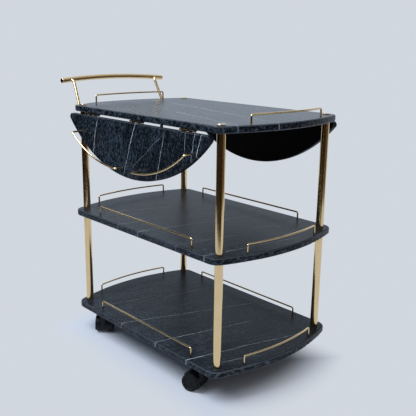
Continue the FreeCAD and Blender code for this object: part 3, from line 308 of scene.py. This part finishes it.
# Veins, where the photograph shows them: both ends and the width in millimetres, and the strength
TOP_VEINS = slab_veins([
    (-330, -10, 30, -103, 1.6, 0.55), (20, -100, 372, -186, 1.9, 0.9), (-200, 60, 380, -66, 1.7, 0.8),
    (-120, 170, 330, 90, 1.3, 0.5), (-340, -120, -60, -190, 1.2, 0.45), (-20, 30, 130, -14, 1.6, 0.7),
    (80, 210, 370, 150, 1.2, 0.45), (358, -183, 385, -189, 4.0, 0.9), (358, -61, 385, -67, 3.5, 0.8),
])
MIDDLE_VEINS = slab_veins([
    (278, -241, 325, 60, 1.6, 0.8), (168, -240, 200, -60, 1.5, 0.7), (5, -240, 75, 60, 1.7, 0.8),
    (-215, -165, -150, 0, 1.5, 0.7), (76, 67, 118, 210, 1.4, 0.6), (-90, -240, -60, -120, 1.2, 0.5),
    (190, 40, 240, 230, 1.3, 0.5),
])
BOTTOM_VEINS = slab_veins([
    (214, -235, 312, 130, 2.0, 0.95), (80, -235, 152, 60, 1.9, 0.85), (-84, -235, 62, 170, 1.7, 0.75),
    (-156, 0, -122, 185, 1.5, 0.6), (292, -155, 318, -80, 1.6, 0.7), (-240, -235, -190, -60, 1.2, 0.4),
])
RIGHT_VEINS = leaf_veins([
    (-157, 706, -186, 590, 1.5, 0.8), (22, 706, -32, 560, 1.7, 0.85), (138, 672, 108, 560, 1.4, 0.7),
    (223, 700, 217, 640, 1.3, 0.5), (257, 700, 246, 640, 1.4, 0.65), (280, 706, 258, 620, 1.6, 0.9),
    (132, 678, 20, 592, 1.2, 0.25),
])
# Only the back of the left leaf is seen there, so its veins are made up
LEFT_VEINS = leaf_veins([
    (-210, 706, -190, 620, 1.7, 0.8), (-60, 706, -30, 550, 1.9, 0.9), (90, 706, 115, 560, 1.6, 0.75),
    (185, 706, 205, 610, 1.6, 0.7), (-120, 690, -20, 590, 1.3, 0.5),
])

# Honed black marble: near-black with a soft sheen, in which the thin white veins stand out
top_marble = black_marble("honed_marble_top", "top_shelf", TOP_GRAIN, UP, TOP_VEINS,
                          TOP_HONING, SLAB_LINES, SLAB_FLECKS_AND_HIGHLIGHT)
middle_marble = black_marble("honed_marble_middle", "middle_shelf", LOWER_GRAIN, UP, MIDDLE_VEINS,
                             MIDDLE_HONING, SLAB_LINES, SLAB_FLECKS_AND_HIGHLIGHT)
bottom_marble = black_marble("honed_marble_bottom", "bottom_shelf", LOWER_GRAIN, UP, BOTTOM_VEINS,
                             BOTTOM_HONING, SLAB_LINES, BOTTOM_FLECKS_AND_HIGHLIGHT)
right_marble = black_marble("honed_marble_right_leaf", "right_leaf", RIGHT_GRAIN, RIGHT, RIGHT_VEINS,
                            LEAF_HONING, LEAF_LINES, LEAF_FLECKS_AND_HIGHLIGHT)
left_marble = black_marble("honed_marble_left_leaf", "left_leaf", LEFT_GRAIN, LEFT, LEFT_VEINS,
                           LEAF_HONING, LEAF_LINES, LEAF_FLECKS_AND_HIGHLIGHT)

FINISHES = {
    "top_shelf": top_marble, "middle_shelf": middle_marble, "bottom_shelf": bottom_marble,
    "right_leaf": right_marble, "left_leaf": left_marble,
    "hinge_fixed_flaps": shade_dark_brass, "hinge_pins": shade_dark_brass,
    "left_leaf_flaps": shade_dark_brass, "right_leaf_flaps": shade_dark_brass,
}
SLOT_FINISHES = {
    "brass": brass, "steel": steel, "rubber": rubber, "black_plastic": nylon, "black_tread": tread,
}
for row in frame["record"]["subparts"]:
    node_object = nodes[row["node"]]
    node_object.data.materials.clear()
    node_object.data.materials.append(FINISHES.get(row["node"]) or SLOT_FINISHES[row["material_slot"]])


def new_piece(name, points, faces, material, body):
    """Mesh piece from arrays of points in metres and of faces, which rides on a body."""
    mesh = bpy.data.meshes.new(name)
    mesh.from_pydata(points.reshape(-1, 3), [], faces)
    mesh.materials.append(material)
    mesh.shade_smooth()
    piece = bpy.data.objects.new(name, mesh)
    bpy.context.scene.collection.objects.link(piece)
    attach(piece, body)


def grid_faces(rows, columns):
    """Quads of a grid of rows by columns that closes on itself along its columns."""
    row, column = np.meshgrid(np.arange(rows - 1), np.arange(columns), indexing="ij")
    following = (column + 1) % columns
    corners = np.stack([row * columns + column, row * columns + following,
                        (row + 1) * columns + following, (row + 1) * columns + column], -1)
    return corners.reshape(-1, 4)


# Points of a screw head round its axis and up its dome
HEAD_TURNS, DOME_STEPS = 24, 9
# Shares of its radius: the small flat at the axis, and the half-width and reach of the crossed slots
AXIS_FLAT, SLOT_HALF_WIDTH, SLOT_REACH = 0.02, 0.16, 0.62
# Shares of its height: the straight rim, the level above which the slots are cut, and their depth
RIM_HEIGHT, SLOT_ABOVE, SLOT_DEPTH = 0.25, 0.3, 0.6


def screw_heads(name, spots, outward, size, body):
    """Round screw heads with a cross recess, one at each spot in millimetres, facing along outward.

    size is a head's radius and height in millimetres. A head is the profile (r, h) turned about its axis:
    out along its flat seat, up the rim and over a quarter ellipse to the crown, with both ends of the
    profile closed. The recess is a dip of depth exp(-(d / half-width) squared) for the nearer of two
    crossed slots.
    """
    radius, height = size
    angle = np.linspace(0, 2 * np.pi, HEAD_TURNS, endpoint=False)
    sweep = np.linspace(0, np.pi / 2, DOME_STEPS)
    rim = np.concatenate([[AXIS_FLAT, 1.0], np.cos(sweep)])
    rim[-1] = AXIS_FLAT
    crown = np.concatenate([[0.0, 0.0], np.sin(sweep) * (1 - RIM_HEIGHT) + RIM_HEIGHT])[:, None]
    r = radius * rim[:, None] * np.ones(HEAD_TURNS)
    x, y = r * np.cos(angle), r * np.sin(angle)
    half_width, reach = SLOT_HALF_WIDTH * radius, SLOT_REACH * radius
    slots = np.maximum(np.exp(-(x / half_width) ** 2) * (np.abs(y) < reach),
                       np.exp(-(y / half_width) ** 2) * (np.abs(x) < reach))
    z = height * (crown - SLOT_DEPTH * slots * (crown > SLOT_ABOVE))
    head = np.stack([x, y, z], -1).reshape(-1, 3)
    turn = np.array(Vector(outward).to_track_quat("Z", "Y").to_matrix())
    middles = np.array([on_trolley(*spot) for spot in spots])
    points = middles[:, None, :] + (head @ turn.T * MM)[None]
    first = np.arange(len(spots))[:, None] * len(head)
    sides = grid_faces(len(rim), HEAD_TURNS) + first[:, :, None]
    seats = np.arange(HEAD_TURNS)[::-1] + first
    crowns = np.arange(len(head) - HEAD_TURNS, len(head)) + first
    faces = sides.reshape(-1, 4).tolist() + seats.tolist() + crowns.tolist()
    new_piece(name, points, faces, steel, body)


SIDES = {"left": 1, "right": -1}
ENDS = (-1, 1)
DOWN = (0, 0, -1)
# Radius and height of the screw heads, in millimetres
FLAP_SCREW, PLATE_SCREW, CLAMP_SCREW = (2.6, 0.7), (2.8, 1.6), (2.2, 1.2)
# Hinges, in millimetres: places along the trolley, screws in a flap, and the line and face of each flap
HINGES, FLAP_SCREWS = (-208, 0, 208), (-20, 0, 20)
FIXED_FLAP_LINE, FIXED_FLAP_FACE = 208.5, 700.8
LEAF_FLAP_LINE, LEAF_FLAP_FACE = 685, 224.25
# Bar guides: places along the trolley, screws in a flange, lines of the flanges and their face
GUIDES, GUIDE_SCREWS, GUIDE_LINES, GUIDE_FACE = (-150, 150), (-19, 19), (90, 146), 700.5
# Handle clamps: place and face of a block, and its screws along and across the trolley
CLAMP_X, CLAMP_Y, CLAMP_FACE = -307.4, 166, 688
CLAMP_STEPS, CLAMP_ASIDE = (-19, 19), (-6.7, 6.7)
# Caster plates: place and face of a plate, and its screws either way
PLATE_X, PLATE_Y, PLATE_FACE, PLATE_SCREWS = 230, 193, 73.5, (-16.5, 16.5)

screw_heads(
    "hinge_screws_fixed",
    [(x + step, side * FIXED_FLAP_LINE, FIXED_FLAP_FACE)
     for x in HINGES for step in FLAP_SCREWS for side in SIDES.values()],
    DOWN, FLAP_SCREW, "trolley")
for side_name, side in SIDES.items():
    screw_heads(
        f"hinge_screws_{side_name}_leaf",
        [(x + step, side * LEAF_FLAP_FACE, LEAF_FLAP_LINE) for x in HINGES for step in FLAP_SCREWS],
        (0, -side, 0), FLAP_SCREW, f"{side_name}_leaf_body")
screw_heads(
    "guide_screws",
    [(x + step, side * y, GUIDE_FACE)
     for x in GUIDES for step in GUIDE_SCREWS for side in SIDES.values() for y in GUIDE_LINES],
    DOWN, PLATE_SCREW, "trolley")
screw_heads(
    "clamp_screws",
    [(CLAMP_X + step, side * CLAMP_Y + aside, CLAMP_FACE)
     for step in CLAMP_STEPS for aside in CLAMP_ASIDE for side in SIDES.values()],
    DOWN, CLAMP_SCREW, "trolley")
screw_heads(
    "caster_plate_screws",
    [(end * PLATE_X + step, side * PLATE_Y + aside, PLATE_FACE)
     for end in ENDS for side in SIDES.values() for step in PLATE_SCREWS for aside in PLATE_SCREWS],
    DOWN, PLATE_SCREW, "trolley")

# Stage: a pale seamless floor, whose colour carries on as the background. Its sizes are in metres
BACKGROUND = linear("#d1d7df")
PAPER_ROUGHNESS, PAPER_SPECULAR = 0.9, 0.1
# A disc has a tiny hole at its middle, so that no face there shrinks to nothing
DISC_HOLE = 0.0005
FLOOR_RINGS, FLOOR_TURNS = (DISC_HOLE, 0.5, 1, 2, 4, 8, 16, 40), 96
# Radius of the bowed shelf ends, the shadow's inset and shift from the bottom shelf, and where it fades
END_RADIUS = 0.6
SHADOW_INSET = Vector((0, 0.02, 0))
SHADOW_SHIFT = Vector((0, -0.03, 0))
SHADOW_FADE = -0.07, 0.1
# Points along a card, and the height at which it stands clear of the floor
CARD_STEPS, CARD_FOOT = 24, 0.002


def stage_surface(name, points, material, closed):
    """Stage piece from a grid of points in metres, closed on itself along its columns or open."""
    rows, columns = points.shape[:2]
    mesh = bpy.data.meshes.new(name)
    faces = grid_faces(rows, columns)
    if not closed:
        faces = faces.reshape(rows - 1, columns, 4)[:, :-1].reshape(-1, 4)
    mesh.from_pydata(points.reshape(-1, 3), [], faces.tolist())
    mesh.materials.append(material)
    piece = bpy.data.objects.new(name, mesh)
    bpy.context.scene.collection.objects.link(piece)
    return piece


def is_seen(tree):
    """1 for what the camera sees, straight, in a reflection or through glass, and 0 for light on things."""
    path = add(tree, "LightPath").node.outputs
    seen = add(tree, "Math", (path["Is Camera Ray"], path["Is Glossy Ray"]), operation="MAXIMUM")
    return add(tree, "Math", (seen, path["Is Transmission Ray"]), operation="MAXIMUM")


def studio_floor():
    """Flat disc at floor level, r (cos a, sin a), that turns to the background colour round the trolley.

    The share of plain colour grows with the distance outside the shadow, which is the larger of
    |x| + y squared / (2 * end radius) - half length and |y| - half width. The shadow is a little narrower
    than the bottom shelf and lies towards the near side.
    """
    angle = np.linspace(0, 2 * np.pi, FLOOR_TURNS, endpoint=False)
    radius = np.array(FLOOR_RINGS)
    points = np.stack([radius[:, None] * np.cos(angle), radius[:, None] * np.sin(angle),
                       np.zeros((len(radius), len(angle)))], -1)
    # Uncoated paper: pale and matt, so that nothing but the shadow shows on it
    material, tree = new_material("studio_paper")
    place = add(tree, "TexCoord", out="Object")
    low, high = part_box("bottom_shelf")
    half = (high - low) / 2 - SHADOW_INSET
    aside = add(tree, "VectorMath", (place, MIDDLE + SHADOW_SHIFT), operation="SUBTRACT")
    aside = add(tree, "VectorMath", (aside,), operation="ABSOLUTE")
    aside = add(tree, "SeparateXYZ", (aside,)).node.outputs
    square = add(tree, "Math", (aside["Y"], aside["Y"]), operation="MULTIPLY")
    bow = add(tree, "Math", (square, 0.5 / END_RADIUS, -half.x), operation="MULTIPLY_ADD")
    beyond_end = add(tree, "Math", (aside["X"], bow), operation="ADD")
    beyond_side = add(tree, "Math", (aside["Y"], half.y), operation="SUBTRACT")
    outside = add(tree, "Math", (beyond_end, beyond_side), operation="MAXIMUM")
    share = add(tree, "MapRange", (outside, *SHADOW_FADE, 0.0, 1.0), **SMOOTH)
    share = add(tree, "Math", (share, is_seen(tree)), operation="MULTIPLY")
    paper = add(tree, "BsdfPrincipled", {
        "Base Color": BACKGROUND, "Roughness": PAPER_ROUGHNESS, "Specular IOR Level": PAPER_SPECULAR})
    plain = add(tree, "Emission", {"Color": BACKGROUND})
    add(tree, "OutputMaterial", {"Surface": add(tree, "MixShader", (share, paper, plain))})
    stage_surface("studio_floor", points, material, True)


def reflected_card(name, points, colour):
    """Stage card of one plain colour that is seen only in reflections and throws no light or shadow."""
    material, tree = new_material(name)
    add(tree, "OutputMaterial", {"Surface": add(tree, "Emission", {"Color": linear(colour)})})
    card = stage_surface(name, points, material, False)
    card.visible_camera = card.visible_diffuse = card.visible_shadow = False


def wall_card(name, first, last, radius, height, colour, foot=CARD_FOOT):
    """Upright card: the part of a cylinder of this radius between two bearings in degrees and two heights.

    A point is (radius cos a, radius sin a, h), with the bearing a measured from the front end.
    """
    angle = np.radians(np.linspace(first, last, CARD_STEPS))
    level = np.array([foot, height])
    points = np.stack([radius * np.cos(angle) * np.ones((2, 1)), radius * np.sin(angle) * np.ones((2, 1)),
                       level[:, None] * np.ones(len(angle))], -1)
    reflected_card(name, points, colour)


def ceiling_card(name, first, last, radius, height, colour):
    """Level card: the part of a disc r (cos a, sin a) between two bearings in degrees, at one height."""
    angle = np.radians(np.linspace(first, last, CARD_STEPS))
    reach = np.array([radius, DISC_HOLE])
    points = np.stack([reach[:, None] * np.cos(angle), reach[:, None] * np.sin(angle),
                       height * np.ones((2, len(angle)))], -1)
    reflected_card(name, points, colour)


def softbox(name, location, target, width, height, power, colour):
    """Rectangular lamp that faces a point."""
    lamp = bpy.data.lights.new(name, "AREA")
    lamp.shape = "RECTANGLE"
    lamp.size, lamp.size_y = width, height
    lamp.energy = power
    lamp.color = linear(colour)[:3]
    holder = bpy.data.objects.new(name, lamp)
    holder.location = location
    holder.rotation_mode = "QUATERNION"
    holder.rotation_quaternion = (Vector(target) - Vector(location)).to_track_quat("-Z", "Y")
    bpy.context.scene.collection.objects.link(holder)


studio_floor()
# Dark cards on the camera's side and above darken the brass, and pale blue ones behind show in the stone.
# Each has its first and last bearing, radius, height, colour and, where it is raised, its foot
wall_card("left_flag", -166, -126, 1.75, 2.6, "#17120d")
wall_card("low_flag", -126, -112, 1.75, 0.95, "#17120d")
wall_card("camera_flag", -112, -5, 1.7, 0.95, "#2a2118")
wall_card("right_flag", -5, 52, 1.8, 0.95, "#5a4f40", 0.13)
wall_card("bar_flag", 28, 66, 1.9, 2.0, "#6a5f52", 0.95)
ceiling_card("ceiling_flag", -75, 65, 2.4, 2.7, "#4a4136")
wall_card("back_wall", 95, 182, 3.0, 2.4, "#e2eefb")
wall_card("wall_foot", 95, 182, 2.9, 1.0, "#b4c4da")
# One large lamp above the near side lights the leaf, the faces of the slabs and their near edges
softbox("key_box", location=(-0.4, -1.25, 2.1), target=(0, 0, 0.3), width=1.6, height=1.6, power=54,
        colour="#f2f7ff")

# The fill comes from above, as from a pale ceiling, weak at the horizon, and is less blue from the front
FILL_RISE, FILL_LEVELS = (0.0, 0.7), (0.35, 0.75)
FILL_COLOUR, FRONT_COLOUR, FRONT_RISE = "#a9c1e7", "#cdc4ba", (0.0, 0.8)
world = bpy.data.worlds.new("studio")
world.use_nodes = True
bpy.context.scene.world = world
sky = world.node_tree
sky.nodes.clear()
toward = add(sky, "SeparateXYZ", (add(sky, "TexCoord", out="Generated"),)).node.outputs
fill_level = add(sky, "MapRange", (toward["Z"], *FILL_RISE, *FILL_LEVELS))
front = add(sky, "MapRange", (toward["X"], *FRONT_RISE, 0.0, 1.0))
tint = add(sky, "Mix", {"Factor": front, MIX_A: linear(FILL_COLOUR), MIX_B: linear(FRONT_COLOUR)}, MIX_OUT,
           data_type="RGBA")
fill = add(sky, "Background", {"Color": tint, "Strength": fill_level})
backdrop = add(sky, "Background", {"Color": BACKGROUND, "Strength": 1.0})
add(sky, "OutputWorld", {"Surface": add(sky, "MixShader", (is_seen(sky), fill, backdrop))})

# Camera at the photograph's viewpoint, with its slight roll. Angles are in degrees and its place in
# millimetres, and the focal length is in pixels of the square photograph
CAMERA_AZIMUTH, CAMERA_ELEVATION, CAMERA_ROLL = 47.364277, 14.514722, 0.821283
CAMERA_PLACE = 1386.456, -1237.493, 908.313
FOCAL_PIXELS, PHOTO_PIXELS = 642.7637, 416
SENSOR_WIDTH = 36
azimuth, elevation, roll = (math.radians(a) for a in (CAMERA_AZIMUTH, CAMERA_ELEVATION, CAMERA_ROLL))
level = math.cos(elevation)
back = Vector((math.sin(azimuth) * level, -math.cos(azimuth) * level, math.sin(elevation)))
right = Vector((math.cos(azimuth), math.sin(azimuth), 0))
up = back.cross(right)
turned_right = math.cos(roll) * right + math.sin(roll) * up
turned_up = math.cos(roll) * up - math.sin(roll) * right
lens = bpy.data.cameras.new("camera")
lens.sensor_width = SENSOR_WIDTH
lens.lens = SENSOR_WIDTH * FOCAL_PIXELS / PHOTO_PIXELS
camera = bpy.data.objects.new("camera", lens)
camera.rotation_mode = "QUATERNION"
camera.rotation_quaternion = Matrix((turned_right, turned_up, back)).transposed().to_quaternion()
camera.location = on_trolley(*CAMERA_PLACE)
bpy.context.scene.collection.objects.link(camera)
bpy.context.scene.camera = camera
bpy.context.scene.view_settings.view_transform = "Standard"
